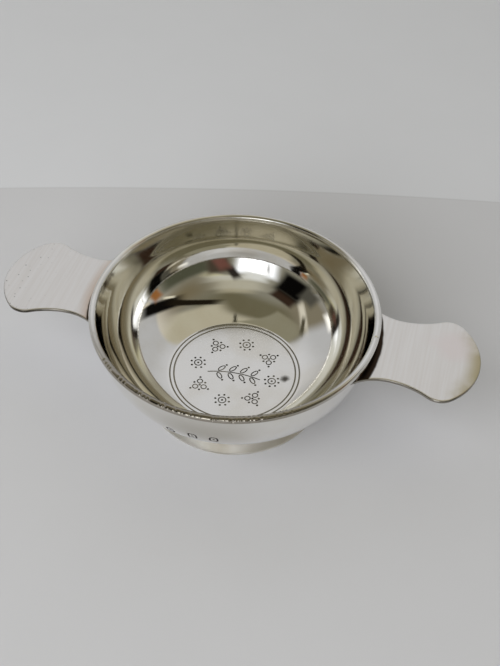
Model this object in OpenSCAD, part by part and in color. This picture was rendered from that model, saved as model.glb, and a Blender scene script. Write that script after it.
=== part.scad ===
// Quaich: a shallow silver drinking cup with two flat lugs, a wired rim and a collet foot.
// Millimetres, +Z up. The origin is the centre of the foot on the table; the lugs lie along X.

/* [Bowl] */
// Inner diameter of the bowl at the lip
mouth_d = 84; // [76:1:100]
// Thickness of the raised sheet
bowl_wall = 1; // [0.8:0.1:1.6]
// Depth from the lip down to the flat floor
bowl_depth = 27.8; // [24:0.2:32]
// Lean of the upper wall, in degrees off upright
wall_lean = 8; // [4:1:12]
// Height of the straight upper wall, from the lip down to where it turns in
straight_wall = 5.4; // [4.8:0.2:8]
// Diameter of the flat disc in the floor
floor_d = 43; // [38:0.5:48]

/* [Engraved double ring] */
// Diameter of the outer engraved line
ring_d = 41.8; // [32:0.2:42]
// Spacing of the two engraved lines
ring_gap = 1.3; // [0.8:0.1:3]
// Width of an engraved line
line_w = 0.5; // [0.3:0.1:0.7]
// Depth of an engraved line
line_depth = 0.15; // [0.1:0.05:0.3]

/* [Rim wire] */
// Diameter of the wire along the lip
wire_d = 2.2; // [1.8:0.1:3]
// Height of the wire's centre above the lip, after its underside is filed flat
wire_sit = 0.55; // [0.3:0.05:0.7]

/* [Foot] */
// Height of the bowl's underside above the table
foot_rise = 5.4; // [4:0.2:9]
// Diameter of the foot where it stands
foot_d = 57.8; // [56:0.2:64]
// Outer diameter of the foot at its narrow top
foot_neck_d = 52.8; // [50:0.2:55]
// Thickness of the foot's wall
foot_wall = 1.1; // [0.8:0.1:1.6]
// Height of the plain edge that the foot stands on
foot_edge = 1; // [0.6:0.1:1.6]

/* [Lugs] */
// Distance from tip to tip across both lugs
lug_span = 149; // [142:0.5:160]
// Greatest width of a lug, across its rounded end
lug_w = 32.4; // [30:0.2:36]
// Width of a lug at its waist
lug_waist_w = 25; // [22:0.2:27]
// Distance from the bowl's wall out to the waist
lug_waist_out = 6.9; // [5.5:0.1:8.5]
// Thickness of the lug plate
lug_t = 1.2; // [0.9:0.1:1.8]
// Depth of the lug's upper face below the lip
lug_drop = 2.6; // [2:0.1:3.2]
// Radius of the long curve across the lug's end
lug_end_r = 19.6; // [18:0.2:24]
// Radius of the lug's two outer corners
lug_corner_r = 6; // [4:0.2:8]
// Radius of the flare at the lug's root
lug_root_r = 15; // [13:0.5:18]

/* [Solder] */
// Reach of the solder fillet under the rim wire
rim_fillet = 0.7; // [0.4:0.05:0.8]
// Reach of the solder fillet round the top of the foot
foot_fillet = 1; // [0.8:0.05:1.4]
// Reach of the solder fillets above and below a lug's root
lug_fillet = 0.8; // [0.5:0.05:1]

/* [Hidden] */
$fn = 180;

// Heights, from the table up
underside_z = foot_rise;
floor_z = underside_z + bowl_wall;
lip_z = floor_z + bowl_depth;
wire_z = lip_z + wire_sit;
lug_top_z = lip_z - lug_drop;
lug_under_z = lug_top_z - lug_t;

// Radii
mouth_r = mouth_d / 2;
lip_out_r = mouth_r + bowl_wall / cos(wall_lean);
floor_r = floor_d / 2;
wire_r = wire_d / 2;
foot_r = foot_d / 2;
foot_neck_r = foot_neck_d / 2;

// How far an arc laps the line or arc that it runs into, so that the two cross instead of only touching
lap = 0.002;

// The turn of the bowl: one arc that runs into the straight wall and ends at the edge of the flat floor
turn_in = [mouth_r - straight_wall * tan(wall_lean), lip_z - straight_wall];
floor_edge = [floor_r, floor_z];
wall_normal = [-cos(wall_lean), sin(wall_lean)];
turn_chord = floor_edge - turn_in;
touch_r = (turn_chord * turn_chord) / (2 * turn_chord * wall_normal);
arc_centre = turn_in + touch_r * wall_normal;
arc_r = touch_r + lap;

// The same turn on the outside, one sheet thickness further out
arc_out_r = arc_r + bowl_wall;
turn_out = turn_in - bowl_wall * wall_normal;

// Height of the bowl's underside, and radius of its upper wall, outside
function underside_at(r) = arc_centre.y - sqrt(pow(arc_out_r, 2) - pow(r - arc_centre.x, 2));
function wall_out_at(z) = lip_out_r - (lip_z - z) * tan(wall_lean);

// The foot's hollow curve: upright at the neck, spreading to the plain edge
foot_neck_z = underside_at(foot_neck_r);
foot_spread = foot_r - foot_neck_r;
foot_curve_h = foot_neck_z - foot_edge;
foot_curve_r = (pow(foot_spread, 2) + pow(foot_curve_h, 2)) / (2 * foot_spread);
foot_curve_x = foot_neck_r + foot_curve_r;

// The lug's outline: end curve, corners, waist and flared root, each running into the next
lug_tip = lug_span / 2;
waist_y = lug_waist_w / 2;
waist_x = wall_out_at(lug_top_z) + lug_waist_out;
end_centre = [lug_tip - lug_end_r, 0];
corner_fit_r = lug_corner_r - lap;
corner_y = lug_w / 2 - lug_corner_r;
corner_x = end_centre.x + sqrt(pow(lug_end_r - corner_fit_r, 2) - pow(corner_y, 2));
corner = [corner_x, corner_y];
end_touch = end_centre + lug_end_r * (corner - end_centre) / norm(corner - end_centre);
waist_inset = waist_y - corner_y;
waist_run = corner_x - waist_x;
waist_reach_sq = pow(waist_run, 2) + pow(waist_inset, 2);
waist_r = (waist_reach_sq - pow(corner_fit_r, 2)) / (2 * (corner_fit_r - waist_inset));
waist_centre = [waist_x, waist_y + waist_r];
root_centre = [waist_x, waist_y + lug_root_r];

// Angle, seen from the bowl's axis, at which the flared root crosses a circle of radius r
root_reach = norm(root_centre);
function root_angle(r) = atan2(root_centre.y, root_centre.x)
    - acos((r * r + root_reach * root_reach - lug_root_r * lug_root_r) / (2 * r * root_reach));

// Half of the lug's width where its root meets the wall
root_y = wall_out_at(lug_top_z) * sin(root_angle(wall_out_at(lug_top_z)));

// Lengths that only have to reach past what they cut, and how far a fillet's ends go into the metal
far = lug_span;
past = 1;
bite = 0.05;

// Half section of a cup form that fills from bottom_z up to top_z: a flat bottom, a round turn of
// radius r, and a wall that leans out from the point where it leaves the turn
module cup_section(bottom_z, r, turn, top_z) {
    translate([0, bottom_z]) square([max(arc_centre.x, past), turn.y - bottom_z]);
    intersection() {
        translate(arc_centre) circle(r);
        translate([0, bottom_z]) square([far, turn.y + past - bottom_z]);
    }
    polygon([[0, turn.y], turn, [turn.x + (top_z - turn.y) * tan(wall_lean), top_z], [0, top_z]]);
}

// Section filled by the bowl and its hollow together
module bowl_outer_section() {
    cup_section(underside_z, arc_out_r, turn_out, lip_z);
}

// Section of the space inside the bowl, open past the lip
module bowl_hollow_section() {
    cup_section(floor_z, arc_r, turn_in, lip_z + past);
}

// Section of one engraved line at radius r: a shallow V in the floor
module engraved_line_section(r) {
    half = line_w / 2;
    polygon([[r - half, floor_z], [r, floor_z - line_depth], [r + half, floor_z], [r, floor_z + past]]);
}

module bowl() {
    color("silver") rotate_extrude() difference() {
        bowl_outer_section();
        bowl_hollow_section();
        engraved_line_section(ring_d / 2);
        engraved_line_section(ring_d / 2 - ring_gap);
    }
}

module rim_wire() {
    color("gainsboro") rotate_extrude() intersection() {
        translate([mouth_r + bowl_wall, wire_z]) circle(wire_r);
        translate([mouth_r, lip_z]) square([2 * wire_d, 2 * wire_d]);
    }
}

// Half section of a solid foot that stands on radius r, with its hollow curve centred at middle_x
module foot_form(r, middle_x, low) {
    difference() {
        translate([0, low]) square([r, foot_neck_z + foot_wall - low]);
        translate([middle_x, foot_neck_z]) circle(foot_curve_r);
    }
}

// Section of the foot before its top is cut to the bowl: two of these forms, a wall apart
module foot_section() {
    difference() {
        foot_form(foot_r, foot_curve_x, 0);
        foot_form(foot_r - foot_wall, foot_curve_x - foot_wall, -past);
    }
}

module foot_ring() {
    color("silver") rotate_extrude() difference() {
        foot_section();
        bowl_outer_section();
    }
}

// What is cut away along one side of a lug: the waist, and the flare towards the root
module lug_side_cut() {
    intersection() {
        translate(waist_centre) circle(waist_r);
        translate([waist_x, 0]) square(far);
    }
    intersection() {
        translate(root_centre) circle(lug_root_r);
        translate([waist_x - far, 0]) square(far);
    }
}

// The disc of the end curve, as far as the two places where the corners take over
module lug_end() {
    heel = [waist_x, 0];
    reach = heel + far * (end_touch - heel) / norm(end_touch - heel);
    intersection() {
        translate(end_centre) circle(lug_end_r);
        polygon([heel, [reach.x, -reach.y], reach]);
    }
}

// Rectangle from x = a to x = b, reaching y either side of the middle line
module strip(a, b, y) {
    translate([a, -y]) square([b - a, 2 * y]);
}

module lug_outline() {
    difference() {
        union() {
            strip(0, waist_x - past / 2, root_y + past);
            strip(waist_x - past, waist_x + past, waist_y + past / 2);
            polygon([[waist_centre.x, -waist_centre.y], [corner.x, -corner.y], corner, waist_centre]);
            for (side = [-1, 1]) translate([corner.x, side * corner.y]) circle(lug_corner_r);
            lug_end();
        }
        lug_side_cut();
        mirror([0, 1]) lug_side_cut();
    }
}

// One lug, pointing along +X, with its root cut to the bowl's wall
module lug() {
    difference() {
        translate([0, 0, lug_under_z]) linear_extrude(lug_t) lug_outline();
        rotate_extrude() bowl_outer_section();
    }
}

module right_lug() {
    color("lightgray") lug();
}

module left_lug() {
    color("lightgray") mirror([1, 0, 0]) lug();
}

// Straight-faced fillet on the bowl's upper wall, over (up = 1) or under (up = -1) a face at height z
module fillet_section(z, reach, up) {
    polygon([[wall_out_at(z), z], [wall_out_at(z) + reach, z], [wall_out_at(z + up * reach), z + up * reach]]);
}

module rim_solder() {
    color("darkgray") rotate_extrude() fillet_section(lip_z, rim_fillet, -1);
}

// The foot's fillet: a straight face from the neck across to the bowl, its two ends just inside the metal
module foot_solder() {
    low = [foot_neck_r - bite, foot_neck_z - foot_fillet];
    high = [foot_neck_r + foot_fillet, underside_at(foot_neck_r + foot_fillet) + bite];
    corner_in = [foot_neck_r - foot_wall / 2, foot_neck_z + bowl_wall / 2];
    color("darkgray") rotate_extrude() difference() {
        polygon([low, high, corner_in]);
        foot_section();
        bowl_outer_section();
    }
}

// Solder above and below one lug's root, along the wall of the bowl
module lug_solder() {
    half_turn = root_angle(wall_out_at(lug_top_z) + lug_fillet);
    rotate([0, 0, -half_turn]) rotate_extrude(angle = 2 * half_turn) {
        fillet_section(lug_top_z, lug_fillet, 1);
        fillet_section(lug_under_z, lug_fillet, -1);
    }
}

module right_lug_solder() {
    color("darkgray") lug_solder();
}

module left_lug_solder() {
    color("darkgray") mirror([1, 0, 0]) lug_solder();
}

bowl();
rim_wire();
foot_ring();
left_lug();
right_lug();
rim_solder();
foot_solder();
left_lug_solder();
right_lug_solder();
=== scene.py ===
# %% [markdown]
# # A silver quaich
# A quaich is a shallow drinking cup with two flat lugs. A silversmith raises the bowl from one disc
# of sheet, wires its rim, stands it on a spreading foot and solders a lug to each side.
# This lesson dresses the measured model of such a cup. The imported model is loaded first, as a fixed
# frame in metres, and every piece made here goes where that frame says.

# %% Load the measured model
import random
from math import acos, asin, atan2, copysign, cos, degrees, exp, hypot, pi, radians, sin, sqrt, tan

import bmesh
import bpy
from mathutils import Matrix, Vector


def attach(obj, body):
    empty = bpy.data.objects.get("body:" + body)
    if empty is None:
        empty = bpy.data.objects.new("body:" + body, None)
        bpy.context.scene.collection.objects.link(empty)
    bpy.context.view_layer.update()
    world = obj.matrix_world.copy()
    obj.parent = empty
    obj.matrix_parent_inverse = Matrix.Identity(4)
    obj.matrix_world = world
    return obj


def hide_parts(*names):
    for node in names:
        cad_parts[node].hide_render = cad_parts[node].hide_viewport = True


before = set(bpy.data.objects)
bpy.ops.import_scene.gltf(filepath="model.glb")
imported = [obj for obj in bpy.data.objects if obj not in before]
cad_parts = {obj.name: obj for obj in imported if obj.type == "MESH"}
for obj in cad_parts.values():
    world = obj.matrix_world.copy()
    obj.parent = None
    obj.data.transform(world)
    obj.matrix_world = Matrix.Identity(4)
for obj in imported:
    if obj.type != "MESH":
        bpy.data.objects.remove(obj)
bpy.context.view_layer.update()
scene = bpy.context.scene
scene.view_settings.view_transform = "Standard"
print("measured pieces:", len(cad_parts))

# %% [markdown]
# ## Units, colours and nodes
# Sizes below are written in millimetres, as a maker would say them, and `MM` turns them to metres.
# Colours are written as sRGB hex values and turned to linear light once, here. Node trees could be
# drawn by hand. In a script, one function adds a node, sets it up and joins it to the nodes that it
# reads, so a tree is written in the order in which it works.

# %% Units, colours and nodes
MM = 0.001
PREFIX = {"SHADER": "ShaderNode", "GEOMETRY": "GeometryNode"}


def linear(hex_colour, gain=1.0):
    """An sRGB hex colour as linear RGBA, with an optional gain for things that shine."""
    parts = [int(hex_colour[i:i + 2], 16) / 255 for i in (1, 3, 5)]
    line = [p / 12.92 if p <= 0.04045 else ((p + 0.055) / 1.055) ** 2.4 for p in parts]
    return [gain * p for p in line] + [1.0]


def join(tree, node, inputs):
    """Sets a node's inputs to values, or joins them to sockets or to other nodes' first open output."""
    for key, value in inputs.items():
        if isinstance(value, bpy.types.Node):
            value = next(socket for socket in value.outputs if socket.enabled)
        if isinstance(value, bpy.types.NodeSocket):
            tree.links.new(value, node.inputs[key])
        else:
            node.inputs[key].default_value = value


def add(tree, kind, inputs=None, **settings):
    """One new node, such as Math for ShaderNodeMath. Inputs go by socket name or number."""
    prefix = "" if kind.startswith("NodeGroup") else PREFIX[tree.type]
    node = tree.nodes.new(prefix + kind)
    for name, value in settings.items():
        setattr(node, name, value)
    join(tree, node, inputs or {})
    return node


print("mid grey in linear light:", [round(c, 3) for c in linear("#808080")])

# %% [markdown]
# ## Camera
# The photograph looks down into the bowl from the front and a little to the right. The camera is
# placed by the values that describe such a view on paper: how far round, how high, how far away
# and how tilted. The lens length comes from a focal length in pixels, because the long side of the
# picture covers the sensor.

# %% Camera
PICTURE_LONG_SIDE = 666
FOCAL_PIXELS = 1000
SENSOR_MM = 36
VIEW_ROUND = radians(14.3)
VIEW_UP = radians(46.283)
VIEW_ROLL = radians(1.564)
VIEW_DISTANCE = 302.177 * MM
AIM = Vector((0, 0, 34.75 * MM))
SLIDE_RIGHT = -4.402 * MM
SLIDE_UP = 7.348 * MM


def put(name, data):
    """An object that holds some data, linked into the scene."""
    item = bpy.data.objects.new(name, data)
    scene.collection.objects.link(item)
    return item


across = Vector((cos(VIEW_ROUND), sin(VIEW_ROUND), 0))
back = Vector((sin(VIEW_ROUND) * cos(VIEW_UP), -cos(VIEW_ROUND) * cos(VIEW_UP), sin(VIEW_UP)))
upward = back.cross(across)
right = across * cos(VIEW_ROLL) + upward * sin(VIEW_ROLL)
up = upward * cos(VIEW_ROLL) - across * sin(VIEW_ROLL)
eye = AIM + back * VIEW_DISTANCE - right * SLIDE_RIGHT - up * SLIDE_UP

lens = bpy.data.cameras.new("camera")
lens.sensor_width = SENSOR_MM
lens.lens = SENSOR_MM * FOCAL_PIXELS / PICTURE_LONG_SIDE
lens.clip_start = 10 * MM
camera = put("camera", lens)
camera.matrix_world = Matrix.Translation(eye) @ Matrix((right, up, back)).transposed().to_4x4()
scene.camera = camera
print("lens in mm:", round(lens.lens, 2), "eye in mm:", [round(c * 1000, 1) for c in eye])

# %% [markdown]
# ## Pale table
# The cup stands on a pale matt sheet that folds up behind it. From above, table and sheet differ
# only by a shade and by the thin shadow along the fold. Two planes would do, but one large plane can
# carry both: its material changes shade along a slightly bowed line behind the cup. A faint mottle
# keeps it from looking like a flat fill.

# %% Table
FOLD_BEHIND = 102 * MM
FOLD_BOW = 0.35
FOLD_SOFT = 0.3 * MM
FOLD_SHADOW = 0.9 * MM
MOTTLE_SIZE = 35 * MM
TABLE_REACH = 3.0
UNDER, OVER = 6, 7  # the two colour sockets of a Mix node
EASED = {"interpolation_type": "SMOOTHSTEP"}  # a Map Range that starts and ends gently


def new_material(name):
    """A material, its tree and shader, and the Object coordinates that its patterns read."""
    material = bpy.data.materials.new(name)
    material.use_nodes = True
    tree = material.node_tree
    place = add(tree, "TexCoord").outputs["Object"]
    return material, tree, tree.nodes["Principled BSDF"], place


def lay_over(tree, under, coats):
    """Lays coats of colour over another colour, each by its own share from 0 to 1."""
    for share, colour in coats:
        under = add(tree, "Mix", {"Factor": share, UNDER: under, OVER: linear(colour)},
                    data_type="RGBA")
    return under


# Matt paper scatters light evenly, so it shows soft shadows and no glints.
matt_paper, tree, shader, place = new_material("matt_paper_sheet")
turned = add(tree, "Mapping", {"Vector": place, "Rotation": (0, 0, -VIEW_ROUND)})
sides = add(tree, "SeparateXYZ", {"Vector": turned}).outputs
bow = add(tree, "Math", {0: sides["X"], 1: sides["X"]}, operation="MULTIPLY")
bowed = add(tree, "Math", {0: bow, 1: FOLD_BOW, 2: sides["Y"]}, operation="MULTIPLY_ADD")
past_fold = add(tree, "Math", {0: bowed, 1: FOLD_BEHIND}, operation="SUBTRACT")
behind = add(tree, "MapRange", {"Value": past_fold, "From Min": -FOLD_SOFT, "From Max": FOLD_SOFT},
             **EASED)
off_fold = add(tree, "Math", {0: past_fold}, operation="ABSOLUTE")
shadow = add(tree, "MapRange", {"Value": off_fold, "From Max": FOLD_SHADOW, "To Min": 0.94},
             **EASED)
mottle = add(tree, "TexNoise", {"Vector": place, "Scale": 1 / MOTTLE_SIZE, "Detail": 3.0})
shade = add(tree, "MapRange", {"Value": mottle, "From Min": 0.3, "From Max": 0.7, "To Min": 0.985})
two_tone = lay_over(tree, linear("#CECFD3"), [(behind, "#D9DBE0")])
depth = add(tree, "Math", {0: shade, 1: shadow}, operation="MULTIPLY")
tinted = add(tree, "Mix", {"Factor": 1.0, UNDER: two_tone, OVER: depth}, data_type="RGBA",
             blend_type="MULTIPLY")
join(tree, shader, {"Base Color": tinted, "Roughness": 0.6, "Specular IOR Level": 0.25})

table_mesh = bpy.data.meshes.new("table")
table_mesh.from_pydata(
    [(x * TABLE_REACH, y * TABLE_REACH, 0) for x, y in ((-1, -1), (1, -1), (1, 1), (-1, 1))],
    [], [(0, 1, 2, 3)])
table_mesh.materials.append(matt_paper)
table = put("table", table_mesh)
print("table laid, fold", round(FOLD_BEHIND / MM), "mm behind the cup")

# %% [markdown]
# ## Studio around the cup
# Polished silver has almost no colour of its own: what it shows is the studio. So the studio is built
# from cards, as a photographer would do it. Glowing planes would stand in the way of other views, so
# the cards are painted on the world: a base tone covers the sky, and each card a patch of it. A card
# is placed by its compass direction and its height in degrees, and it may lean.

# %% Sky and cards
HORIZON_LOW = 0.04
HORIZON_HIGH = 0.2
world = bpy.data.worlds.new("studio")
scene.world = world
world.use_nodes = True
sky = world.node_tree
outlook = add(sky, "TexCoord").outputs["Generated"]
height = add(sky, "SeparateXYZ", {"Vector": outlook}).outputs["Z"]
above = add(sky, "MapRange", {"Value": height, "From Min": HORIZON_LOW, "From Max": HORIZON_HIGH},
            **EASED)
layers = [lay_over(sky, linear("#BDBDBD"), [(above, "#817E70")])]


def card(direction, elevation, half_wide, half_high, colour, lean=0, edge=0.5, gain=1.0):
    """Lays one soft-edged card over the sky so far. Its place and its half sizes are in degrees."""
    reach = [sin(radians(a)) for a in (half_wide, half_high)]
    facing = add(sky, "Mapping", {"Vector": outlook,
                 "Rotation": [radians(a) for a in (lean, -elevation, direction)],
                 "Scale": (1, *reach)}, vector_type="TEXTURE")
    parts = add(sky, "SeparateXYZ", {"Vector": facing}).outputs
    wide = add(sky, "Math", {0: parts["Y"]}, operation="ABSOLUTE")
    high = add(sky, "Math", {0: parts["Z"]}, operation="ABSOLUTE")
    out = add(sky, "Math", {0: wide, 1: high, 2: edge}, operation="SMOOTH_MAX")
    cover = add(sky, "MapRange", {"Value": out, "From Min": 1 - edge, "From Max": 1 + edge,
                "To Min": 1.0, "To Max": 0.0}, **EASED)
    ahead = add(sky, "Math", {0: parts["X"], 1: 0.0}, operation="GREATER_THAN")
    share = add(sky, "Math", {0: cover, 1: ahead}, operation="MULTIPLY")
    layers.append(add(sky, "Mix", {"Factor": share, UNDER: layers[-1],
                  OVER: linear(colour, gain)}, data_type="RGBA"))


print("base of the sky laid")

# %% Pale and warm cards, which fill the floor and the round of the bowl
card(250, 76, 34, 15, "#67624D", edge=0.45)
card(285, 54, 12, 5, "#A39D87", edge=0.6)
card(75, 61, 22, 27, "#B1AB96", edge=0.2)
card(42, 61, 19, 27, "#B1AB96", edge=0.2)
card(30, 33, 24, 15, "#D0CABC", edge=0.6)
card(110, 30, 72, 30, "#B4B4B4", edge=0.06)
card(112, 47, 28, 13, "#CBCBCC")
card(165, 67, 16, 11, "#87836F", lean=-25, edge=0.15)
card(198, 36, 13, 18, "#7B7462", edge=0.4)
card(198, 44, 14, 3, "#CFC9B8", lean=-25, edge=0.6)
card(302, 36, 13, 3.5, "#C6C1A0", lean=-35, edge=0.8)
card(287, 39, 22, 4, "#BDBBAE")
card(283, 48, 19, 6, "#B0AC9B")
print("studio cards so far:", len(layers) - 1)

# %% Dark flags, which draw edges into the polish, with a few pale slips between them
card(345, 42, 20, 10, "#70664F", edge=0.9)
card(9, 32, 19, 6, "#0D0B09", lean=-48, edge=0.35)
card(347, 55, 20, 3.2, "#1C170F", lean=-58, edge=0.35)
card(356, 33, 5, 1.2, "#D8D2BC", lean=-48)
card(16, 17, 5, 1.5, "#C9C2B0", lean=-30)
card(228, 46, 10, 6, "#33261D", edge=0.3)
card(229, 29, 12, 13, "#080706", edge=0.3)
card(330, 16, 24, 10, "#4C4D3E", edge=0.4)
card(211, 25, 7, 8, "#4C4A42")
card(3, 19, 4.5, 6, "#8F6036")
card(183, 49, 9, 1.5, "#4A4637", lean=-25)
card(105, 81, 0.7, 9, "#3A372B")
card(301, 20, 9, 10, "#453C31", edge=0.4)
print("studio cards so far:", len(layers) - 1)

# %% Soft box in front, which the back of the bowl mirrors, and cards around it
card(267, 19, 14.5, 11, "#F4F8FF", gain=2.2)
card(263, 22, 5, 5, "#FFFFFF", edge=0.8, gain=4.0)
card(275, 17, 5, 4, "#FFFFFF", edge=0.8, gain=3.0)
card(257, 20, 1.6, 8, "#B9BABB", lean=8, edge=0.8)
card(183, 18, 6, 5, "#EFEDE6", edge=0.6, gain=1.4)
card(267, 34, 9, 5, "#D8D9D4", edge=0.6)
card(288, 31, 3.5, 9, "#2B2723", lean=22)
card(298, 17, 5, 9, "#6A473E", lean=20, edge=0.6)
join(sky, sky.nodes["Background"], {"Color": layers[-1]})
print("studio cards in all:", len(layers) - 1)

# %% [markdown]
# ## Soft light in front
# The cards are what the silver sees, but they are too dim to light the table evenly. A large soft
# light stands in front for that. It is kept out of the silver's reflections, as a photographer would
# hide it behind a flag, so its square doesn't sit in the middle of the bowl.

# %% Front light
LIGHT_SIDE = 1.4
LIGHT_AWAY = 1.3
LIGHT_WATTS = 18.5
towards_light = Vector((-0.3, -0.8, 0.55)).normalized()
soft_light = bpy.data.lights.new("front_soft_light", "AREA")
soft_light.size = LIGHT_SIDE
soft_light.energy = LIGHT_WATTS
front_light = put("front_soft_light", soft_light)
front_light.location = towards_light * LIGHT_AWAY
front_light.rotation_euler = towards_light.to_track_quat("Z", "Y").to_euler()
front_light.visible_glossy = False
print("front light:", LIGHT_WATTS, "W")

# %% [markdown]
# ## Polished silver
# Silver reflects about nineteen parts in twenty of all light, a little less at the blue end, so its
# colour is a warm near-white and everything else is reflection. A used cup is not a mirror: rubbing
# leaves hair scratches that soften the gloss, and fingers leave a thin film. Here the film is a
# broad mottle in colour and roughness, and the scratches are stretched noise that tilts the surface
# a little. Real hair scratches are about 0.05 mm wide; they are drawn at 0.3 mm to show.
# The floor of the bowl has been rubbed satin inside its engraved ring, so roughness rises there.

# %% Polished silver of the bowl
FILM_SIZE = 14 * MM
SCRATCH_GAP = 0.3 * MM
SCRATCH_RUN = 6 * MM
SCRATCH_TURN = (0.4, 0.3, 0.7)
SCRATCH_TILT = 0.02
SATIN_RADIUS = 19.4 * MM
SATIN_FADE = 2 * MM
SATIN_ROUGH = 0.12


def silver(name, clean, filmed, gloss, dulled):
    """Polished silver: film and scratches over a mirror. Returns the material and its parts."""
    material, tree, shader, place = new_material(name)
    dimmer_coat = add(tree, "TexNoise", {"Vector": place, "Scale": 1 / FILM_SIZE, "Detail": 4.0})
    run = add(tree, "Mapping", {"Vector": place, "Rotation": SCRATCH_TURN,
              "Scale": (1 / SCRATCH_GAP, 1 / SCRATCH_RUN, 1 / SCRATCH_GAP)})
    scratches = add(tree, "TexNoise", {"Vector": run, "Scale": 1.0, "Detail": 2.0})
    amount = add(tree, "MapRange", {"Value": dimmer_coat, "From Min": 0.4, "From Max": 0.7}, **EASED)
    tint = lay_over(tree, linear(clean), [(amount, filmed)])
    rough = add(tree, "MapRange", {"Value": amount, "To Min": gloss, "To Max": dulled})
    tilt = add(tree, "Bump", {"Height": scratches, "Strength": SCRATCH_TILT, "Distance": 0.1 * MM})
    join(tree, shader, {"Base Color": tint, "Roughness": rough, "Normal": tilt, "Metallic": 1.0})
    return material, tree, shader, place, rough, tint


def from_axis(tree, place):
    """How far a place is from the cup's axis."""
    flat = add(tree, "VectorMath", {0: place, 1: (1, 1, 0)}, operation="MULTIPLY")
    return add(tree, "VectorMath", {0: flat}, operation="LENGTH")


# Polished sheet gives a clear picture of the studio, a little veiled where it has been handled.
bowl_silver, tree, shader, place, rough, tint = silver(
    "polished_silver_bowl", "#F6F5F2", "#EFECE5", 0.035, 0.06)
on_floor = add(tree, "MapRange", {"Value": from_axis(tree, place), "From Min": SATIN_RADIUS,
               "From Max": SATIN_RADIUS + SATIN_FADE, "To Min": 1.0, "To Max": 0.0}, **EASED)
satin = add(tree, "Math", {0: on_floor, 1: SATIN_ROUGH, 2: rough}, operation="MULTIPLY_ADD")
join(tree, shader, {"Roughness": satin})
print(bowl_silver.name, "is satin within", round(SATIN_RADIUS / MM, 1), "mm of the axis")

# %% [markdown]
# ## Stains and painted shade on the bowl
# Each mark is a soft spot: a Mapping node moves and scales the place so that the spot becomes a unit
# ball, and the distance from its middle says how strong it is. Noise frays the edge. The front of the
# outer wall is painted a little darker as shade under the rim, the floor keeps one spot of soot, and
# the wall behind each lug has a dark patch that is part firestain and part painted shade. They could
# be painted on an image, but spots like these stay sharp and need no unwrapping.

# %% Stains and painted shade on the bowl
FRAY_NOISE_SIZE = 2.5 * MM
FRAY = 0.9
FRAYED_EDGE = (0.75, 1.45)


def soft_spot(tree, place, middle, reach, core=0.0, ragged=None):
    """1 in the core of a spot in mm, falling to 0 at its reach, with an edge that noise can fray."""
    spot = add(tree, "Mapping", {"Vector": place, "Location": [c * MM for c in middle],
               "Scale": [r * MM for r in reach]}, vector_type="TEXTURE")
    away = add(tree, "VectorMath", {0: spot}, operation="LENGTH")
    low, high = core, 1.0
    if ragged:
        away = add(tree, "Math", {0: ragged, 1: FRAY, 2: away}, operation="MULTIPLY_ADD")
        low, high = FRAYED_EDGE
    return add(tree, "MapRange", {"Value": away, "From Min": low, "From Max": high, "To Min": 1.0,
               "To Max": 0.0}, **EASED)


fray_noise = add(tree, "TexNoise", {"Vector": place, "Scale": 1 / FRAY_NOISE_SIZE, "Detail": 3.0})
# The first spot darkens the front of the outer wall: painted shade under the rim.
stains_and_painted_shade = [(soft_spot(tree, place, (4, -44, 24), (34, 10, 15), core=0.1), "#D0CCC3")]
for middle, reach, colour in (
        ((16.3, 1.6, 6.4), (2.0, 2.0, 3), "#5E5B54"),
        # The two patches behind the lugs are part firestain and part painted shade of the gap under the
        # rim wire.
        ((43.0, 0, 33.0), (2.2, 19, 2.6), "#33291F"),
        ((-43.0, 0, 33.0), (2.2, 19, 2.6), "#4B3626")):
    stains_and_painted_shade.append((soft_spot(tree, place, middle, reach, ragged=fray_noise), colour))
join(tree, shader, {"Base Color": lay_over(tree, tint, stains_and_painted_shade)})
print("stains on the bowl:", len(stains_and_painted_shade))

# %% [markdown]
# ## Silver of the rim, the foot and the lugs' edges
# The same silver serves three more places, each in its own way. Lips and cloths have worn the rim
# bright, but its front, and a little of its back, is painted a darker brown as a painted dark
# reflection. The foot is dulled by polish left on it, and the filed edges of the lugs are painted grey
# to nearly black as a painted dark reflection.

# %% Silver of the rim
# The rim's front, and a quarter as much of its back, is painted darker: a painted dark reflection.
FRONT_DARK_REFLECTION = (-38 * MM, -8 * MM)
BACK_DARK_REFLECTION = (15 * MM, 40 * MM)
BACK_DARK_REFLECTION_SHARE = 0.25
# Worn wire gives broad soft glints, white at the sides; its brownish front is a painted dark
# reflection.
rim_silver, tree, shader, place, _, tint = silver(
    "worn_bright_silver_rim", "#FBFAF7", "#F1EEE6", 0.11, 0.2)
away = add(tree, "SeparateXYZ", {"Vector": place}).outputs["Y"]
front_dark_reflection = add(tree, "MapRange", {"Value": away, "From Min": FRONT_DARK_REFLECTION[0], "From Max": FRONT_DARK_REFLECTION[1],
                 "To Min": 1.0, "To Max": 0.0}, **EASED)
back_dark_reflection = add(tree, "MapRange", {"Value": away, "From Min": BACK_DARK_REFLECTION[0], "From Max": BACK_DARK_REFLECTION[1],
                "To Max": BACK_DARK_REFLECTION_SHARE}, **EASED)
dimmer_coat = add(tree, "Math", {0: front_dark_reflection, 1: back_dark_reflection}, operation="ADD")
join(tree, shader, {"Base Color": lay_over(tree, tint, [(dimmer_coat, "#A8A297")])})
print(rim_silver.name, len(tree.nodes), "nodes")

# %% Silver of the foot and of the lugs' edges
# Dulled silver glows pale and shows no clear picture.
foot_silver = silver("filmed_silver_foot", "#ECE9E2", "#DDD7CA", 0.5, 0.6)[0]
# The lugs' filed edges are a thin line between grey and nearly black: a painted dark reflection.
lug_edge_silver = silver("silver_lug_edge_painted_dark", "#ABA69D", "#332E28", 0.12, 0.2)[0]
print("also made:", foot_silver.name, "and", lug_edge_silver.name)

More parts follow.
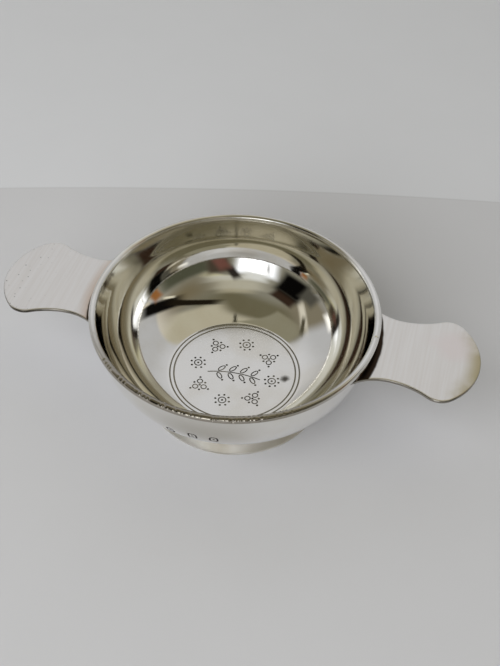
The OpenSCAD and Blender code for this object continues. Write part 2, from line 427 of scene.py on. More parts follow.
# %% [markdown]
# ## Satin silver of the lugs
# The lugs were finished by rubbing across them, so their tops are satin and scatter the light along
# fine cross lines. The right tip has taken on a yellow tarnish along its edge. Near the bowl, heat
# from soldering left brownish firestain in the metal, which follows the wall and so is measured from
# the axis. The dark band at the root is part firestain and part painted shade, where the rim wire
# shades the lug. A few pits near the left end are the middles of the cells of a Voronoi texture. The
# cross lines are about 0.1 mm apart; they are drawn at 0.8 mm so that they show.

# %% Satin lug silver
LINE_GAP = 0.8 * MM
LINE_RUN = 30 * MM
LINE_SKEW = 0.1
CLOUD_SIZE = 9 * MM
# Satin silver looks pale and even from every side, with a faint grain.
lug_silver, tree, shader, place = new_material("satin_silver_lug")
across_lug = add(tree, "Mapping", {"Vector": place, "Rotation": (0, 0, LINE_SKEW),
                 "Scale": (1 / LINE_GAP, 1 / LINE_RUN, 1 / LINE_RUN)})
cross_lines = add(tree, "TexNoise", {"Vector": across_lug, "Scale": 1.0, "Detail": 3.0})
cloud = add(tree, "TexNoise", {"Vector": place, "Scale": 1 / CLOUD_SIZE, "Detail": 4.0})
lined = add(tree, "MapRange", {"Value": cross_lines, "From Min": 0.35, "From Max": 0.65})
blush = soft_spot(tree, place, (66, 6, 31.6), (10, 8, 20), ragged=cloud)
at_tip = soft_spot(tree, place, (77, -2, 31.6), (16, 20, 20), ragged=cloud)
well_inside = soft_spot(tree, place, (54.9, 0, 31.6), (19.2, 19.2, 40), core=0.7)
tip_edge = add(tree, "Math", {0: 1.0, 1: well_inside}, operation="SUBTRACT")
yellowed = add(tree, "Math", {0: at_tip, 1: tip_edge}, operation="MULTIPLY")
metal = lay_over(tree, linear("#F9F7F5"), [
    (lined, "#F4F1EE"), (blush, "#F7F0EE"), (yellowed, "#C4B998")])
print(lug_silver.name, "lines drawn", round(LINE_GAP / MM, 1), "mm apart")

# %% Firestain and painted shade at the joint
STAIN_AND_SHADE_R = 45.0 * MM
STAIN_AND_SHADE_SOFT = 0.6 * MM
STAIN_AND_SHADE_SLOPES = (0.025, 0.01)
STAIN_AND_SHADE_WANDER = -1.2 * MM
WARM_REACH = 3 * MM
WARM_SHARE = 0.55
sides = add(tree, "SeparateXYZ", {"Vector": place}).outputs
which_side = add(tree, "Math", {0: sides["X"]}, operation="SIGN")
slope = add(tree, "Math", {0: which_side, 1: STAIN_AND_SHADE_SLOPES[0], 2: STAIN_AND_SHADE_SLOPES[1]},
            operation="MULTIPLY_ADD")
leaning = add(tree, "Math", {0: sides["Y"], 1: slope, 2: from_axis(tree, place)},
              operation="MULTIPLY_ADD")
wandering = add(tree, "Math", {0: cloud, 1: STAIN_AND_SHADE_WANDER, 2: leaning}, operation="MULTIPLY_ADD")
left_side = add(tree, "Math", {0: sides["X"], 1: 0.0}, operation="LESS_THAN")
warmth = add(tree, "MapRange", {"Value": wandering, "From Min": STAIN_AND_SHADE_R - STAIN_AND_SHADE_SOFT,
             "From Max": STAIN_AND_SHADE_R + WARM_REACH, "To Min": WARM_SHARE, "To Max": 0.0})
warm_left = add(tree, "Math", {0: warmth, 1: left_side}, operation="MULTIPLY")
# The dark band at the root is part firestain and part painted shade, where the rim wire shades the lug.
firestain_and_shade = add(tree, "MapRange", {"Value": wandering, "From Min": STAIN_AND_SHADE_R - STAIN_AND_SHADE_SOFT,
            "From Max": STAIN_AND_SHADE_R, "To Min": 1.0, "To Max": 0.0}, **EASED)
metal = lay_over(tree, metal, [(warm_left, "#C29A70"), (firestain_and_shade, "#33281F")])
print("firestain reaches", round(STAIN_AND_SHADE_R / MM, 1), "mm from the axis")

# %% Pits, and the satin itself
PIT_GAP = 2.8 * MM
PIT_SIZE = (0.04, 0.11)
PITS_FROM = -58 * MM
PITS_FULL = -71 * MM
pits = add(tree, "TexVoronoi", {"Vector": place, "Scale": 1 / PIT_GAP}, voronoi_dimensions="2D")
pitted = add(tree, "MapRange", {"Value": pits, "From Min": PIT_SIZE[0], "From Max": PIT_SIZE[1],
             "To Min": 0.7, "To Max": 0.0}, **EASED)
draw = add(tree, "SeparateXYZ", {"Vector": pits.outputs["Color"]}).outputs["X"]
strength = add(tree, "MapRange", {"Value": draw, "From Min": 0.3})
at_left_end = add(tree, "MapRange", {"Value": sides["X"], "From Min": PITS_FROM, "From Max": PITS_FULL,
                  "To Min": 0.04})
for share in (strength, left_side, at_left_end):
    pitted = add(tree, "Math", {0: pitted, 1: share}, operation="MULTIPLY")
lug_rough = add(tree, "MapRange", {"Value": cross_lines, "From Min": 0.3, "From Max": 0.7,
                "To Min": 0.28, "To Max": 0.32})
join(tree, shader, {"Base Color": lay_over(tree, metal, [(pitted, "#4F4A44")]),
                    "Roughness": lug_rough, "Metallic": 1.0})
print(lug_silver.name, len(tree.nodes), "nodes")

# %% [markdown]
# ## Oxidised engraving and dull solder
# A cut line in silver keeps its black: polish and sulphide stay in the groove. The shallow rings and
# the rubbed parts of the floor have lost most of it and are grey. Solder holds more copper than the
# sheet, so it tarnishes sooner and shows greyer and browner than the metal it joins.

# %% Oxidised groove
RINGS_FAR = 21.2 * MM
RINGS_BAND = 2 * MM
RUBBED_OUT = 5 * MM
GRIME_SIZE = 4 * MM
# Oxidised silver is a dull black to grey that makes a thin line readable.
oxidised, tree, shader, place = new_material("oxidised_silver_groove")
grime = add(tree, "TexNoise", {"Vector": place, "Scale": 1 / GRIME_SIZE, "Detail": 2.0})
faded = add(tree, "MapRange", {"Value": grime, "From Min": 0.35, "From Max": 0.65})
from_origin = add(tree, "VectorMath", {0: place}, operation="LENGTH")
on_rings = add(tree, "Math", {0: from_origin, 1: RINGS_FAR, 2: RINGS_BAND}, operation="COMPARE")
in_bowl = add(tree, "Math", {0: from_origin, 1: RINGS_FAR + RUBBED_OUT}, operation="LESS_THAN")
rubbed = add(tree, "Math", {0: faded, 1: in_bowl}, operation="MULTIPLY")
black = lay_over(tree, linear("#38352F"), [(on_rings, "#B5B3AD"), (rubbed, "#BAB6AD")])
join(tree, shader, {"Base Color": black, "Metallic": 1.0, "Roughness": 0.5})
print(oxidised.name, len(tree.nodes), "nodes")

# %% Dull solder
BLOOM_SIZE = 3 * MM
# Firestained solder is a lumpy grey-brown that draws a dark line along every joint.
dull_solder, tree, shader, place = new_material("firestained_silver_solder")
bloom = add(tree, "TexNoise", {"Vector": place, "Scale": 1 / BLOOM_SIZE, "Detail": 4.0})
fire = add(tree, "MapRange", {"Value": bloom, "From Min": 0.4, "From Max": 0.62}, **EASED)
lumps = add(tree, "Bump", {"Height": bloom, "Strength": 0.3, "Distance": 0.2 * MM})
join(tree, shader, {"Base Color": lay_over(tree, linear("#8D8072"), [(fire, "#4A3526")]),
                    "Normal": lumps, "Metallic": 1.0, "Roughness": 0.32})
print(dull_solder.name, len(tree.nodes), "nodes")

# %% [markdown]
# ## One tree for everything that is turned
# Bowl, rim, foot and solder are all one section carried round the cup's axis, so a single Geometry
# Nodes tree makes them all. The section is a small edge mesh drawn in the XZ plane. The tree lays a
# circle or an arc, carries the section along it with Curve to Mesh, welds what meets on the axis and
# sets the material. Spin would do as well, but here the radius, the arc and the number of steps stay
# named inputs that can be tried out.

# %% The turning tree
WELD = 0.0005 * MM


def new_tree(title, inputs):
    """A geometry tree with named inputs: the tree, its entry's sockets and the inputs' identifiers."""
    tree = bpy.data.node_groups.new(title, "GeometryNodeTree")
    tree.interface.new_socket("Geometry", in_out="OUTPUT", socket_type="NodeSocketGeometry")
    identifiers = {}
    for name, kind in inputs.items():
        made = tree.interface.new_socket(name, in_out="INPUT", socket_type="NodeSocket" + kind)
        identifiers[name] = made.identifier
    return tree, add(tree, "NodeGroupInput").outputs, identifiers


turning, entry, turning_inputs = new_tree("section_carried_round", {
    "Section": "Object", "Radius": "Float", "Start": "Float", "Sweep": "Float", "Steps": "Int",
    "Closed": "Bool", "Finish": "Material"})
drawn = add(turning, "ObjectInfo", {"Object": entry["Section"]})
profile = add(turning, "MeshToCurve", {"Mesh": drawn.outputs["Geometry"]})
laid = add(turning, "Transform", {"Geometry": profile, "Rotation": (pi / 2, 0, 0)})
path = add(turning, "CurveArc", {"Resolution": entry["Steps"], "Radius": entry["Radius"],
           "Start Angle": entry["Start"], "Sweep Angle": entry["Sweep"]})
ring = add(turning, "SetSplineCyclic", {"Geometry": path, "Cyclic": entry["Closed"]})
body = add(turning, "CurveToMesh", {"Curve": ring, "Profile Curve": laid, "Fill Caps": True})
welded = add(turning, "MergeByDistance", {"Geometry": body, "Distance": WELD})
real = add(turning, "RealizeInstances", {"Geometry": welded})
finished = add(turning, "SetMaterial", {"Geometry": real, "Material": entry["Finish"]})
add(turning, "NodeGroupOutput", {"Geometry": finished})
print(turning.name, "inputs:", list(turning_inputs))


# %% Helpers that draw a section and turn it
def arc(centre, radius, start, stop, count):
    """Points in mm along an arc, from one angle to another in degrees."""
    angles = [radians(start + (stop - start) * i / count) for i in range(count + 1)]
    return [(centre[0] + radius * cos(a), centre[1] + radius * sin(a)) for a in angles]


def grow(host, tree, identifiers, values):
    """Runs a geometry tree on an object and returns what it makes as a plain mesh."""
    modifier = host.modifiers.new(tree.name, "NODES")
    modifier.node_group = tree
    for name, value in values.items():
        modifier[identifiers[name]] = value
    grown = host.evaluated_get(bpy.context.evaluated_depsgraph_get())
    mesh = bpy.data.meshes.new_from_object(grown)
    host.modifiers.clear()
    return mesh


def smooth(mesh, sharp):
    """Shades a mesh smooth, apart from edges that are sharper than an angle in degrees."""
    mesh.polygons.foreach_set("use_smooth", [True] * len(mesh.polygons))
    mesh.set_sharp_from_angle(angle=radians(sharp))


def settle(mesh, sharp):
    """Turns a mesh's faces outwards and shades it."""
    work = bmesh.new()
    work.from_mesh(mesh)
    bmesh.ops.recalc_face_normals(work, faces=work.faces)
    work.to_mesh(mesh)
    work.free()
    smooth(mesh, sharp)
    return mesh


def turn(name, points, finish, path_r, steps, sharp=30, closed_section=True, start=0.0, sweep=360.0):
    """Carries a section of (radius, height) points in mm along a circle or arc round the axis."""
    drawing = bpy.data.meshes.new(name + "_section")
    edges = [(i, i + 1) for i in range(len(points) - 1)]
    if closed_section:
        edges.append((len(points) - 1, 0))
    drawing.from_pydata([((x - path_r) * MM, 0, z * MM) for x, z in points], edges, [])
    section = put(name + "_section", drawing)
    host = put(name + "_host", bpy.data.meshes.new(name + "_host"))
    whole = sweep >= 360
    shape = grow(host, turning, turning_inputs, {
        "Section": section, "Radius": path_r * MM, "Start": radians(start),
        "Sweep": radians(sweep * (steps - 1) / steps if whole else sweep),
        "Steps": steps, "Closed": whole, "Finish": finish})
    for item in (section, host):
        bpy.data.objects.remove(item)
    shape.name = name
    piece = put(name, settle(shape, sharp))
    print(name, len(shape.polygons), "faces")
    return piece


# %% [markdown]
# ## The bowl
# The bowl is one sheet, a millimetre thick: a floor with two engraved rings, one round turn, a short
# straight wall that leans out, and the same again a sheet's thickness further out. Hammering has let
# the floor down a hair in the middle, so its far side mirrors what is above the rim and stays as pale
# as the rest. The turn's radius isn't chosen: one arc has to leave the wall smoothly and reach the
# edge of the floor, and only one radius does both.

# %% Bowl sizes
MOUTH_R = 42.0
SHEET = 1.0
LIP_Z = 34.2
FLOOR_Z = 6.4
FLOOR_R = 21.5
FLOOR_HOLLOW = 0.6
LEAN = 8.0
STRAIGHT_WALL = 5.4

lean = radians(LEAN)
turn_in = Vector((MOUTH_R - STRAIGHT_WALL * tan(lean), LIP_Z - STRAIGHT_WALL))
inward = Vector((-cos(lean), sin(lean)))
chord = Vector((FLOOR_R, FLOOR_Z)) - turn_in
TURN_R = chord.length_squared / (2 * chord.dot(inward))
turn_middle = turn_in + TURN_R * inward
OUTER_R = TURN_R + SHEET
LIP_OUT_R = MOUTH_R + SHEET / cos(lean)
UNDER_Z = FLOOR_Z - SHEET


def wall_r(z):
    """Radius of the straight outer wall at a height."""
    return LIP_OUT_R - (LIP_Z - z) * tan(lean)


def floor_z(r):
    """Height of the floor at a radius: it sinks a little towards the middle."""
    return FLOOR_Z - FLOOR_HOLLOW * (1 - (r / FLOOR_R) ** 2)


def underside_z(r):
    """Height of the bowl's round outside at a radius."""
    return turn_middle.y - sqrt(OUTER_R ** 2 - (r - turn_middle.x) ** 2)


print("radius of the turn:", round(TURN_R, 2), "mm inside,", round(OUTER_R, 2), "mm outside")

# %% Bowl section
RING_RADII = (19.6, 20.9)
LINE_W = 0.5
LINE_DEEP = 0.15
FLOOR_STEPS = (0, 2, 5, 8, 11, 14, 17, 19)
UNDER_STEPS = (21, 17, 12, 7, 3, 0)
TURN_STEPS = 60
FLOOR_RIM = 0.1
LIP_SOFT = 0.15
LIP_EASE = 0.02

floor_start = degrees(atan2(FLOOR_Z - turn_middle.y, FLOOR_R - turn_middle.x))
under_start = degrees(asin((UNDER_Z - turn_middle.y) / OUTER_R))
inside = [(r, floor_z(r)) for r in FLOOR_STEPS]
for ring_r in RING_RADII:
    for r, depth in ((ring_r - LINE_W / 2, 0), (ring_r, LINE_DEEP), (ring_r + LINE_W / 2, 0)):
        inside.append((r, floor_z(r) - depth))
inside.append((FLOOR_R - FLOOR_RIM, floor_z(FLOOR_R - FLOOR_RIM)))
inside += arc(turn_middle, TURN_R, floor_start, -LEAN, TURN_STEPS)
lip = [(MOUTH_R - LIP_EASE, LIP_Z - LIP_SOFT), (MOUTH_R, LIP_Z), (LIP_OUT_R, LIP_Z)]
lip.append((wall_r(LIP_Z - LIP_SOFT), LIP_Z - LIP_SOFT))
outside = arc(turn_middle, OUTER_R, -LEAN, under_start, TURN_STEPS)
outside += [(r, floor_z(r) - SHEET) for r in UNDER_STEPS]
bowl = turn("polished_bowl", inside + lip + outside, bowl_silver, path_r=20.0, steps=400,
            closed_section=False)

# %% Darken the engraved rings
bowl.data.materials.append(oxidised)
ring_faces = 0
for face in bowl.data.polygons:
    off_ring = min(abs(face.center.xy.length / MM - ring_r) for ring_r in RING_RADII)
    if off_ring < LINE_W / 2 and face.center.z / MM > UNDER_Z + SHEET / 2:
        face.material_index = 1
        ring_faces += 1
print("engraved ring faces:", ring_faces)

# %% [markdown]
# ## Engraved flowers and punched frames
# Inside the rings the floor carries engraving: small flowers of lines and punched dots, and a leafy
# sprig across the middle. Outside, near the front, are three small punched frames, each with a dot.
# Lines and dots could be painted on, but an engraver takes metal away, so here they are cut. A tree
# lays a round cutter along every line and a ball at every dot, and takes them all out of the bowl
# with one Mesh Boolean. The cutters' faces are marked first, so the tree can blacken every fresh cut.

# %% The engraving tree
engraving, entry, engraving_inputs = new_tree("engraved_lines_and_dots", {
    "Geometry": "Geometry", "Lines": "Object", "Dots": "Object", "Cutter radius": "Float",
    "Ball radius": "Float", "Finish": "Material"})
line_info = add(engraving, "ObjectInfo", {"Object": entry["Lines"]})
line_paths = add(engraving, "MeshToCurve", {"Mesh": line_info.outputs["Geometry"]})
cutter = add(engraving, "CurvePrimitiveCircle", {"Resolution": 8, "Radius": entry["Cutter radius"]})
grooves = add(engraving, "CurveToMesh", {"Curve": line_paths, "Profile Curve": cutter,
              "Fill Caps": True})
dot_info = add(engraving, "ObjectInfo", {"Object": entry["Dots"]})
ball = add(engraving, "MeshUVSphere", {"Segments": 10, "Rings": 6, "Radius": entry["Ball radius"]})
balls = add(engraving, "InstanceOnPoints", {"Points": dot_info.outputs["Geometry"], "Instance": ball})
real_balls = add(engraving, "RealizeInstances", {"Geometry": balls})
cutters = add(engraving, "JoinGeometry", {"Geometry": grooves})
join(engraving, cutters, {"Geometry": real_balls})
marked = add(engraving, "StoreNamedAttribute", {"Geometry": cutters, "Name": "fresh_cut",
             "Value": True}, data_type="BOOLEAN", domain="FACE")
cut = add(engraving, "MeshBoolean", {"Mesh 1": entry["Geometry"], "Mesh 2": marked},
          operation="DIFFERENCE", solver="MANIFOLD")
real = add(engraving, "RealizeInstances", {"Geometry": cut})
fresh = add(engraving, "InputNamedAttribute", {"Name": "fresh_cut"}, data_type="BOOLEAN")
blackened = add(engraving, "SetMaterial", {"Geometry": real, "Selection": fresh,
                "Material": entry["Finish"]})
add(engraving, "NodeGroupOutput", {"Geometry": blackened})
print(engraving.name, "inputs:", list(engraving_inputs))

# %% Flowers around the floor
FLOWERS = 8
FLOWER_RING_R = 12.5
FLOWER_TURN = 42.5
DAISY_R = 1.2
DAISY_DOTS_R = 2.25
PETAL_OUT = 1.55
PETAL_R = 0.85
NEAR_DOTS_R = 2.0
FAR_DOTS_R = 3.25
CUT_Z = FLOOR_Z + 0.04
BALL_Z = FLOOR_Z + 0.15
lines = []
dots = []


def loop(middle, radius, count):
    """A closed ring of points in mm, round a point on the floor."""
    return [(x, y, CUT_Z) for x, y in arc(middle, radius, 0, 360, count)]


def polar(middle, radius, angle):
    """A point in mm at a distance and an angle in degrees from another."""
    return (middle[0] + radius * cos(radians(angle)), middle[1] + radius * sin(radians(angle)))


for number in range(FLOWERS):
    facing = FLOWER_TURN + 360 / FLOWERS * number
    middle = polar((0, 0), FLOWER_RING_R, facing)
    dots.append((*middle, BALL_Z))
    if number % 2:
        lines.append(loop(middle, DAISY_R, 20))
        dots += [(*polar(middle, DAISY_DOTS_R, facing + 45 * k), BALL_Z) for k in range(8)]
    else:
        lines += [loop(polar(middle, PETAL_OUT, facing + 120 * k), PETAL_R, 16) for k in range(3)]
        dots += [(*polar(middle, NEAR_DOTS_R, facing + 60 + 120 * k), BALL_Z) for k in range(3)]
        dots += [(*polar(middle, FAR_DOTS_R, facing + 120 * k), BALL_Z) for k in range(3)]
print("flowers:", len(lines), "lines,", len(dots), "dots")

# %% Sprig across the floor
STEM_HALF = 8.6
STEM_BOW = 1.3
STEM_BACK = 1.6
STEM_SLANT = 4.0
LEAF_PLACES = (-0.62, -0.2, 0.22, 0.64)
LEAF_GAP = 0.55
LEAF_ANGLE = 52
LEAF_LONG = 2.7
LEAF_HALF = 0.62
LEAF_DOT_GAP = 0.75
STEM_STEPS = 24
LEAF_STEPS = 16


def stem_point(t):
    """Point of the sprig's bowed stem, for t from -1 to 1, with the whole sprig slanted."""
    x, y = STEM_HALF * t, STEM_BOW * (1 - t * t) - STEM_BACK
    slant = radians(STEM_SLANT)
    return (x * cos(slant) - y * sin(slant), x * sin(slant) + y * cos(slant))


lines.append([(*stem_point(-1 + 2 * i / STEM_STEPS), CUT_Z) for i in range(STEM_STEPS + 1)])
for t in LEAF_PLACES:
    for side in (1, -1):
        foot_point = polar(stem_point(t), LEAF_GAP, 90 * side)
        tip_angle = side * LEAF_ANGLE + STEM_SLANT
        leaf = []
        for i in range(LEAF_STEPS + 1):
            along = LEAF_LONG * (1 - cos(2 * pi * i / LEAF_STEPS)) / 2
            aside = LEAF_HALF * sin(2 * pi * i / LEAF_STEPS)
            leaf.append((*polar(polar(foot_point, along, tip_angle), aside, tip_angle + 90), CUT_Z))
        lines.append(leaf)
        dots.append((*polar(foot_point, LEAF_LONG + LEAF_DOT_GAP, tip_angle), BALL_Z))
print("flowers and sprig:", len(lines), "lines,", len(dots), "dots")

# %% Cut them
CUTTER_R = 0.2
BALL_R = 0.42


def marks_object(name, paths, joined):
    """A scratch object that holds paths as edges, or lone points, for the engraving tree to read."""
    points, edges = [], []
    for path in paths:
        closed = joined and (Vector(path[0]) - Vector(path[-1])).length < 1e-6
        start = len(points)
        points += path[:-1] if closed else path
        if joined:
            edges += [(i, i + 1) for i in range(start, len(points) - 1)]
            edges += [(len(points) - 1, start)] if closed else []
    mesh = bpy.data.meshes.new(name)
    mesh.from_pydata([[c * MM for c in point] for point in points], edges, [])
    return put(name, mesh)


def engrave(piece, paths, points, cutter_r, ball_r):
    """Cuts lines and dots into a piece with the engraving tree, and keeps the result as its mesh."""
    marks = marks_object("engraved_lines", paths, True), marks_object("engraved_dots", [points], False)
    mesh = grow(piece, engraving, engraving_inputs, {
        "Lines": marks[0], "Dots": marks[1], "Cutter radius": cutter_r * MM,
        "Ball radius": ball_r * MM, "Finish": oxidised})
    for item in marks:
        bpy.data.objects.remove(item)
    piece.data = mesh
    mesh.attributes.remove(mesh.attributes["fresh_cut"])
    smooth(mesh, 30)
    dark = mesh.materials.find(oxidised.name)
    dark_faces = sum(face.material_index == dark for face in mesh.polygons)
    print("engraved:", len(paths), "lines,", len(points), "dots,", dark_faces, "dark faces")


def let_down(points):
    """The same points in mm, as far down as the floor has sunk there."""
    return [(x, y, z + floor_z(hypot(x, y)) - FLOOR_Z) for x, y, z in points]


engrave(bowl, [let_down(path) for path in lines], let_down(dots), CUTTER_R, BALL_R)

# %% Punched frames on the outside
FRAMES = ((-101.7, 20.6, 2), (-91.5, 21.9, 5), (-82.6, 22.2, 2.6))  # direction, height, squareness
FRAME_WIDE = 1.15
FRAME_TALL = 1.55
FRAME_STEPS = 28
PUNCH_R = 0.26
PUNCH_BALL_R = PUNCH_R * 1.6
frames = []
frame_dots = []


def on_wall(direction, across_mm, z):
    """A point in mm on the round of the outer wall, a little way across from a direction in degrees."""
    r = turn_middle.x + sqrt(OUTER_R ** 2 - (turn_middle.y - z) ** 2)
    return (*polar((0, 0), r, direction + degrees(across_mm / r)), z)


for direction, z, squareness in FRAMES:
    path = []
    for i in range(FRAME_STEPS + 1):
        angle = 2 * pi * i / FRAME_STEPS
        wide, tall = [copysign(abs(v) ** (2 / squareness), v) for v in (cos(angle), sin(angle))]
        path.append(on_wall(direction, FRAME_WIDE * wide, z + FRAME_TALL * tall))
    frames.append(path)
    frame_dots.append(on_wall(direction, 0, z))
engrave(bowl, frames, frame_dots, PUNCH_R, PUNCH_BALL_R)

# %% [markdown]
# ## The rim wire
# A stout round wire, filed flat underneath, is soldered along the lip so that the thin wall keeps its
# shape. It is a circle cut by two straight lines: flat where it sits on the lip, and flush with the
# inside of the wall. Years of knocks have nicked its front. The nicks could be a bump in the material,
# but they break the outline, so they are pressed into the mesh, which has fine steps for that.

# %% Rim wire
WIRE_R = 1.1
WIRE_SIT = 0.55
wire_z = LIP_Z + WIRE_SIT
wire_x = MOUTH_R + SHEET
seat = degrees(asin(WIRE_SIT / WIRE_R))
flush = degrees(acos(-SHEET / WIRE_R))
wire_section = arc((wire_x, wire_z), WIRE_R, -seat, flush, 26)
wire_section += arc((wire_x, wire_z), WIRE_R, 360 - flush, 180 + seat, 3)
rim_wire = turn("worn_rim_wire", wire_section, rim_silver, path_r=43.0, steps=1600, sharp=40)

# %% Nicks along the front of the rim
NICK_SEED = 7
NICK_COUNT = 60
NICK_MIDDLE = -88
NICK_SPREAD = 24
NICK_DEPTHS = (0.03, 0.13)
NICK_WIDE = 0.3
NICK_DEEPEST = 0.25
NICKED_ABOVE = 0.1
NICKED_BEYOND = -0.8
LARGE_NICKS = [(-100.9, 0.2), (-96.6, 0.16), (-71.4, 0.16), (-68.9, 0.2), (-0.8, 0.14)]
nick_draw = random.Random(NICK_SEED)
nicks = [(nick_draw.gauss(NICK_MIDDLE, NICK_SPREAD), nick_draw.uniform(*NICK_DEPTHS))
         for _ in range(NICK_COUNT)] + LARGE_NICKS
for vertex in rim_wire.data.vertices:
    place_mm = vertex.co / MM
    direction = degrees(atan2(place_mm.y, place_mm.x))
    outward = Vector((place_mm.x, place_mm.y, 0)).normalized()
    from_middle = place_mm - outward * wire_x - Vector((0, 0, wire_z))
    if from_middle.z > NICKED_ABOVE and from_middle.dot(outward) > NICKED_BEYOND:
        dent = sum(depth * exp(-(radians(direction - at) * wire_x / NICK_WIDE) ** 2)
                   for at, depth in nicks)
        vertex.co -= from_middle.normalized() * min(dent, NICK_DEEPEST) * MM
print("rim nicks:", len(nicks))

# %% [markdown]
# ## The foot
# The foot is a collet: a low ring that rises in a hollow curve from a plain upright edge to the neck
# where it meets the bowl. Its two faces are the same curve, one wall apart, and its top follows the
# round of the bowl. A Solidify modifier on one curve would come close, but a drawn section keeps the
# edge that it stands on.

# %% Foot
FOOT_R = 28.9
NECK_R = 26.4
FOOT_WALL = 1.1
FOOT_EDGE = 1.0
EDGE_ROUND = 0.25
neck_z = underside_z(NECK_R)
flare = FOOT_R - NECK_R
curve_h = neck_z - FOOT_EDGE
curve_r = (flare ** 2 + curve_h ** 2) / (2 * flare)
foot_end = 180 + degrees(asin(curve_h / curve_r))
inner_top = underside_z(NECK_R - FOOT_WALL)
inner_rise = degrees(asin((neck_z - inner_top) / curve_r))
foot_section = arc((NECK_R + curve_r, neck_z), curve_r, 180, foot_end, 28)
foot_section += arc((FOOT_R - EDGE_ROUND, EDGE_ROUND), EDGE_ROUND, 0, -90, 5)
foot_section += arc((FOOT_R - FOOT_WALL + EDGE_ROUND, EDGE_ROUND), EDGE_ROUND, 270, 180, 5)
foot_section += arc((NECK_R - FOOT_WALL + curve_r, neck_z), curve_r, foot_end, 180 + inner_rise, 28)
foot_section += [(NECK_R - FOOT_WALL / 2, underside_z(NECK_R - FOOT_WALL / 2))]
foot = turn("spreading_foot", foot_section, foot_silver, path_r=27.0, steps=320, sharp=25)

# %% [markdown]
# ## The lugs
# Each lug is one flat plate. Its outline is four arcs that run into each other: the broad end, the
# corner, the hollow of the waist and the flare of the root. Stacking that outline, drawn in a little
# at the top and the bottom, gives the plate its softened edges, and the root follows the leaning wall
# at every height. A Bevel modifier would soften the root too. The arcs' radii only grow or shrink by
# the amount that the outline is drawn in, so the layers match point by point.

# %% Lug outline
LUG_TIP = 74.5
LUG_W = 32.4
WAIST_W = 25.0
WAIST_OUT = 6.9
LUG_T = 1.2
LUG_BELOW_LIP = 2.6
LUG_TOP = LIP_Z - LUG_BELOW_LIP
LUG_UNDER = LUG_TOP - LUG_T
END_R = 19.6
CORNER_R = 6.0
ROOT_R = 15.0

waist = Vector((wall_r(LUG_TOP) + WAIST_OUT, WAIST_W / 2))
end_middle = Vector((LUG_TIP - END_R, 0))
corner_y = LUG_W / 2 - CORNER_R
corner = Vector((end_middle.x + sqrt((END_R - CORNER_R) ** 2 - corner_y ** 2), corner_y))
hollow = waist.y - corner.y
run = corner.x - waist.x
WAIST_R = (run ** 2 + hollow ** 2 - CORNER_R ** 2) / (2 * (CORNER_R - hollow))
waist_middle = waist + Vector((0, WAIST_R))
root_middle = waist + Vector((0, ROOT_R))


def bearing(towards, origin):
    """Angle in degrees from one point towards another."""
    return degrees(atan2(towards.y - origin.y, towards.x - origin.x))


def root_meets(wall, root_r):
    """Angle round the axis, in radians, at which the flare of the root meets a wall of that radius."""
    reach = root_middle.length
    apart = acos((wall ** 2 + reach ** 2 - root_r ** 2) / (2 * wall * reach))
    return atan2(root_middle.y, root_middle.x) - apart


def lug_loop(inset, wall):
    """The lug's outline in mm, drawn in by inset, with its root on a wall of that radius."""
    root_r = ROOT_R + inset
    meet = root_meets(wall, root_r)
    root_end = bearing(Vector((wall * cos(meet), wall * sin(meet))), root_middle)
    to_corner = bearing(corner, end_middle)
    half = arc(end_middle, END_R - inset, 0, to_corner, 24)
    half += arc(corner, CORNER_R - inset, to_corner, bearing(waist_middle, corner), 18)[1:]
    half += arc(waist_middle, WAIST_R + inset, bearing(corner, waist_middle), -90, 20)[1:]
    half += arc(root_middle, root_r, -90, root_end, 18)[1:]
    root = arc((0, 0), wall, degrees(meet), -degrees(meet), 40)[1:-1]
    return half + root + [(x, -y) for x, y in reversed(half[1:])]


print("radius of the lug's waist:", round(WAIST_R, 2), "mm")

# %% Lug plates
LUG_EDGE = 0.5
SUPPORT = 0.25
ROOT_SUNK = 0.1
EDGE_TURN = 0.7
EDGE_STEPS = 6


def lug_plate(name, side):
    """One lug as stacked outlines: flat faces, softened edges, root against the wall."""
    quarter = [radians(90 * i / EDGE_STEPS) for i in range(EDGE_STEPS + 1)]
    levels = [(LUG_EDGE + SUPPORT, LUG_UNDER)]
    levels += [(LUG_EDGE * (1 - sin(a)), LUG_UNDER + LUG_EDGE * (1 - cos(a))) for a in quarter]
    levels += [(LUG_EDGE * (1 - cos(a)), LUG_TOP - LUG_EDGE * (1 - sin(a))) for a in quarter]
    levels += [(LUG_EDGE + SUPPORT, LUG_TOP)]
    work = bmesh.new()
    loops = []
    for inset, z in levels:
        outline = lug_loop(inset, wall_r(z) - ROOT_SUNK)
        loops.append([work.verts.new((side * x * MM, y * MM, z * MM)) for x, y in outline])
    count = len(loops[0])
    for low, high in zip(loops, loops[1:]):
        for i in range(count):
            j = (i + 1) % count
            work.faces.new((low[i], low[j], high[j], high[i]))
    flats = [work.faces.new(loops[0]), work.faces.new(loops[-1])]
    work.normal_update()
    bmesh.ops.triangulate(work, faces=flats, ngon_method="BEAUTY")
    mesh = bpy.data.meshes.new(name)
    work.to_mesh(mesh)
    work.free()
    for finish in (lug_silver, lug_edge_silver):
        mesh.materials.append(finish)
    piece = put(name, settle(mesh, 40))
    for face in mesh.polygons:
        face.material_index = int(abs(face.normal.z) < EDGE_TURN)
    print(name, len(mesh.polygons), "faces")
    return piece


right_lug = lug_plate("satin_lug_right", 1)
left_lug = lug_plate("satin_lug_left", -1)

# %% [markdown]
# ## Runs of solder
# Solder drawn into a joint leaves a small hollow fillet. Each one is a three-cornered section with a
# sagging face, carried round with the same turning tree: right round for the rim and the foot, and
# only as far as the root reaches for the lugs, above and below the plate.

# %% Solder fillets
RIM_FILLET = 0.7
FOOT_FILLET = 1.0
LUG_FILLET = 0.8
SAG = 0.55
SAG_STEPS = 8
BITE = 0.04
FOOT_BITE = (0.3, 0.2)


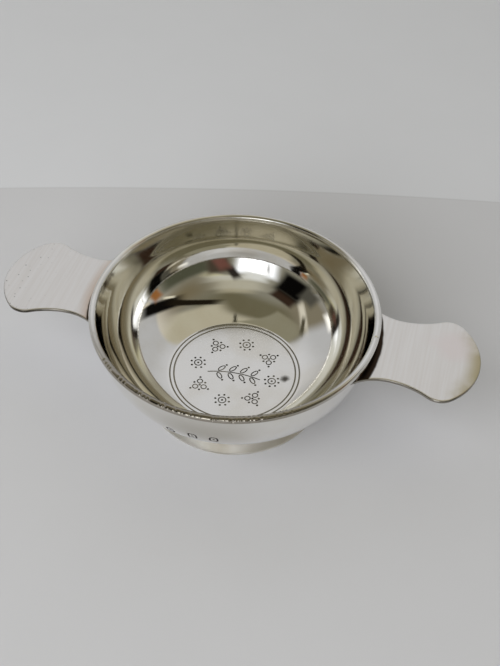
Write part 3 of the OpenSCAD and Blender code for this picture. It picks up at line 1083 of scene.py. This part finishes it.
def fillet(inner, first, last):
    """Section of a fillet: a hollow face from first to last, drawn in towards the inner corner."""
    inner, first, last = Vector(inner), Vector(first), Vector(last)
    pull = (first + last) / 2 * (1 - SAG) + inner * SAG
    face = []
    for i in range(SAG_STEPS + 1):
        t = i / SAG_STEPS
        face.append((1 - t) ** 2 * first + 2 * t * (1 - t) * pull + t ** 2 * last)
    return [tuple(p) for p in face] + [tuple(inner)]


rim_run = turn("rim_solder_run", fillet(
    (wall_r(LIP_Z) - BITE, LIP_Z + BITE), (wall_r(LIP_Z) + RIM_FILLET, LIP_Z + BITE),
    (wall_r(LIP_Z - RIM_FILLET) - BITE, LIP_Z - RIM_FILLET)), dull_solder, path_r=43.0, steps=320)
foot_run = turn("foot_solder_run", fillet(
    (NECK_R - FOOT_BITE[0], neck_z + FOOT_BITE[1]), (NECK_R - BITE, neck_z - FOOT_FILLET),
    (NECK_R + FOOT_FILLET, underside_z(NECK_R + FOOT_FILLET) + BITE)),
    dull_solder, path_r=26.0, steps=320)


# %% Solder along the lugs
def lug_run(name, middle):
    """Solder above and below one lug's root, joined as one piece, centred on a direction in degrees."""
    runs = []
    for z, way in ((LUG_TOP, 1), (LUG_UNDER, -1)):
        wall = wall_r(z)
        half = degrees(root_meets(wall + LUG_FILLET, ROOT_R))
        runs.append(turn(name + ("_over" if way > 0 else "_under"), fillet(
            (wall - BITE, z - way * BITE), (wall + LUG_FILLET, z - way * BITE),
            (wall_r(z + way * LUG_FILLET) - BITE, z + way * LUG_FILLET)),
            dull_solder, path_r=42.5, steps=90, start=middle - half, sweep=2 * half))
    work = bmesh.new()
    for part in runs:
        work.from_mesh(part.data)
        bpy.data.objects.remove(part)
    mesh = bpy.data.meshes.new(name)
    work.to_mesh(mesh)
    work.free()
    mesh.materials.append(dull_solder)
    return put(name, settle(mesh, 40))


right_run = lug_run("lug_solder_run_right", 0)
left_run = lug_run("lug_solder_run_left", 180)

# %% [markdown]
# ## Hand the pieces to the frame
# Every piece rides on the one body of the cup and stands for the measured solid that it was made
# after, which is hidden. The table also lists the material slot of each, which nothing here reads.
# Nothing moves on a quaich, so that is all.

# %% Ride and replace
for piece, node, slot in (
        (bowl, "bowl", "bowl_silver"), (rim_wire, "rim_wire", "rim_silver"),
        (foot, "foot_ring", "foot_silver"), (right_lug, "right_lug", "lug_silver"),
        (left_lug, "left_lug", "lug_silver"), (rim_run, "rim_solder", "solder"),
        (foot_run, "foot_solder", "solder"), (right_run, "right_lug_solder", "solder"),
        (left_run, "left_lug_solder", "solder")):
    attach(piece, "root")
    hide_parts(node)
